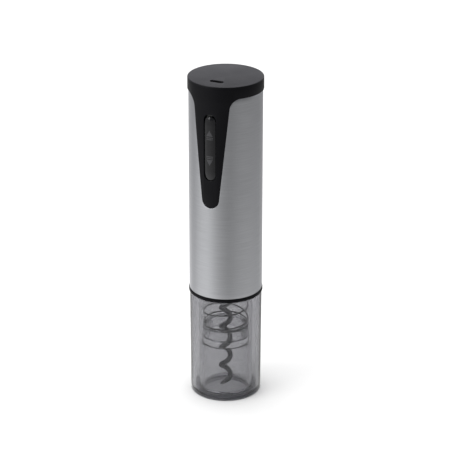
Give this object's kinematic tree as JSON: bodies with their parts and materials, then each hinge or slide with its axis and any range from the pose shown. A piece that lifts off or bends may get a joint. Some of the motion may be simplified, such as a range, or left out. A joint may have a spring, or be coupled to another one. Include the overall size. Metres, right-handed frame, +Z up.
{
  "type": "electric wine opener",
  "caption": "Cordless wine opener: brushed steel cylinder, black cap with a rocker switch on a tapering tongue, and a smoked clear base with the worm inside.",
  "frame": {"origin": "middle of the base's foot, on the surface that it stands on", "axes": "+Z up along the cylinder, -Y towards the rocker switch, +X to the right when seen from the front"},
  "size_m": [0.052, 0.052, 0.233],
  "materials": {
    "cap_plastic": "satin moulded black ABS",
    "brushed_steel": "fine horizontal brushing",
    "black_plastic": "moulded black",
    "gloss_black": "polished black",
    "smoked_clear": "polished smoked clear",
    "coated_worm": "dark non-stick coating on steel",
    "spring_steel": "drawn wire",
    "gear_nylon": "moulded nylon",
    "plated_steel": "zinc plated",
    "sintered_bronze": "sintered",
    "felt": "pressed felt",
    "board_green": "solder mask",
    "cell_blue": "shrink sleeve",
    "lead_red": "insulation",
    "lead_black": "insulation"
  },
  "bodies": {
    "housing": {"top_cap": "cap_plastic", "steel_sleeve": "brushed_steel", "joint_ring": "black_plastic", "clear_base": "smoked_clear", "guide_sleeve": "smoked_clear", "spring": "spring_steel", "chassis_left": "black_plastic", "chassis_right": "black_plastic", "gearbox_housing": "gear_nylon", "output_bush": "sintered_bronze", "spindle_seal": "felt", "motor_plate": "plated_steel", "motor_can": "plated_steel", "motor_endcap": "black_plastic", "rocker_pin": "plated_steel", "switch_up": "black_plastic", "switch_down": "black_plastic", "control_board": "board_green", "motor_driver": "black_plastic", "charge_board": "board_green", "charge_socket": "plated_steel", "battery_cell_left": "cell_blue", "battery_cell_right": "cell_blue", "battery_cradle": "black_plastic", "battery_bridge": "plated_steel", "battery_lead_red": "lead_red", "battery_lead_black": "lead_black", "motor_lead_red": "lead_red", "motor_lead_black": "lead_black", "base_screw_1": "plated_steel", "base_screw_2": "plated_steel", "base_screw_3": "plated_steel", "base_screw_4": "plated_steel", "gearbox_screw_1": "plated_steel", "gearbox_screw_2": "plated_steel", "gearbox_screw_3": "plated_steel", "motor_screw_1": "plated_steel", "motor_screw_2": "plated_steel"},
    "output": {"output_spindle": "plated_steel", "worm": "coated_worm", "worm_set_screw": "plated_steel"},
    "stage_1": {"stage_1_carrier": "gear_nylon"},
    "pinion": {"motor_pinion": "plated_steel"},
    "shuttle": {"shuttle": "smoked_clear"},
    "rocker": {"rocker_button": "gloss_black"},
    "plunger_up": {"plunger_up": "gear_nylon"},
    "plunger_down": {"plunger_down": "gear_nylon"},
    "planet_1a": {"planet_1a": "gear_nylon"},
    "planet_1b": {"planet_1b": "gear_nylon"},
    "planet_1c": {"planet_1c": "gear_nylon"},
    "planet_2a": {"planet_2a": "gear_nylon"},
    "planet_2b": {"planet_2b": "gear_nylon"},
    "planet_2c": {"planet_2c": "gear_nylon"}
  },
  "joints": [
    {"name": "worm_spin", "type": "hinge", "parent": "housing", "child": "output", "pos_m": [0, 0, 0.1], "axis": [0, 0, 1], "continuous": true},
    {"name": "stage_1_spin", "type": "hinge", "parent": "housing", "child": "stage_1", "pos_m": [0, 0, 0.115], "axis": [0, 0, 1], "continuous": true},
    {"name": "motor_spin", "type": "hinge", "parent": "housing", "child": "pinion", "pos_m": [0, 0, 0.12], "axis": [0, 0, 1], "continuous": true},
    {"name": "planet_1a_spin", "type": "hinge", "parent": "stage_1", "child": "planet_1a", "pos_m": [0, 0.0108, 0.119], "axis": [0, 0, 1], "continuous": true},
    {"name": "planet_1b_spin", "type": "hinge", "parent": "stage_1", "child": "planet_1b", "pos_m": [-0.00935, -0.0054, 0.119], "axis": [0, 0, 1], "continuous": true},
    {"name": "planet_1c_spin", "type": "hinge", "parent": "stage_1", "child": "planet_1c", "pos_m": [0.00935, -0.0054, 0.119], "axis": [0, 0, 1], "continuous": true},
    {"name": "planet_2a_spin", "type": "hinge", "parent": "output", "child": "planet_2a", "pos_m": [0, 0.0108, 0.1105], "axis": [0, 0, 1], "continuous": true},
    {"name": "planet_2b_spin", "type": "hinge", "parent": "output", "child": "planet_2b", "pos_m": [-0.00935, -0.0054, 0.1105], "axis": [0, 0, 1], "continuous": true},
    {"name": "planet_2c_spin", "type": "hinge", "parent": "output", "child": "planet_2c", "pos_m": [0.00935, -0.0054, 0.1105], "axis": [0, 0, 1], "continuous": true},
    {"name": "shuttle_slide", "type": "slide", "parent": "housing", "child": "shuttle", "axis": [0, 0, 1], "range_m": [0, 0.028], "stiffness_N_per_m": 200, "springref_m": -0.02, "deforming": ["spring"]},
    {"name": "rocker_tilt", "type": "hinge", "parent": "housing", "child": "rocker", "pos_m": [0, -0.0229, 0.1894], "axis": [-1, 0, 0], "range_deg": [-1.5, 1.5], "stiffness_Nm_per_rad": 1},
    {"name": "plunger_up_slide", "type": "slide", "parent": "housing", "child": "plunger_up", "axis": [0, 1, 0], "range_m": [-0.0004, 0.0004]},
    {"name": "plunger_down_slide", "type": "slide", "parent": "housing", "child": "plunger_down", "axis": [0, 1, 0], "range_m": [-0.0004, 0.0004]}
  ],
  "couplings": [
    {"joint": "stage_1_spin", "follows": "worm_spin", "ratio": 6},
    {"joint": "motor_spin", "follows": "worm_spin", "ratio": 36},
    {"joint": "planet_1a_spin", "follows": "worm_spin", "ratio": -15},
    {"joint": "planet_1b_spin", "follows": "worm_spin", "ratio": -15},
    {"joint": "planet_1c_spin", "follows": "worm_spin", "ratio": -15},
    {"joint": "planet_2a_spin", "follows": "worm_spin", "ratio": -2.5},
    {"joint": "planet_2b_spin", "follows": "worm_spin", "ratio": -2.5},
    {"joint": "planet_2c_spin", "follows": "worm_spin", "ratio": -2.5},
    {"joint": "plunger_up_slide", "follows": "rocker_tilt", "m_per_rad": 0.014},
    {"joint": "plunger_down_slide", "follows": "rocker_tilt", "m_per_rad": -0.014}
  ]
}
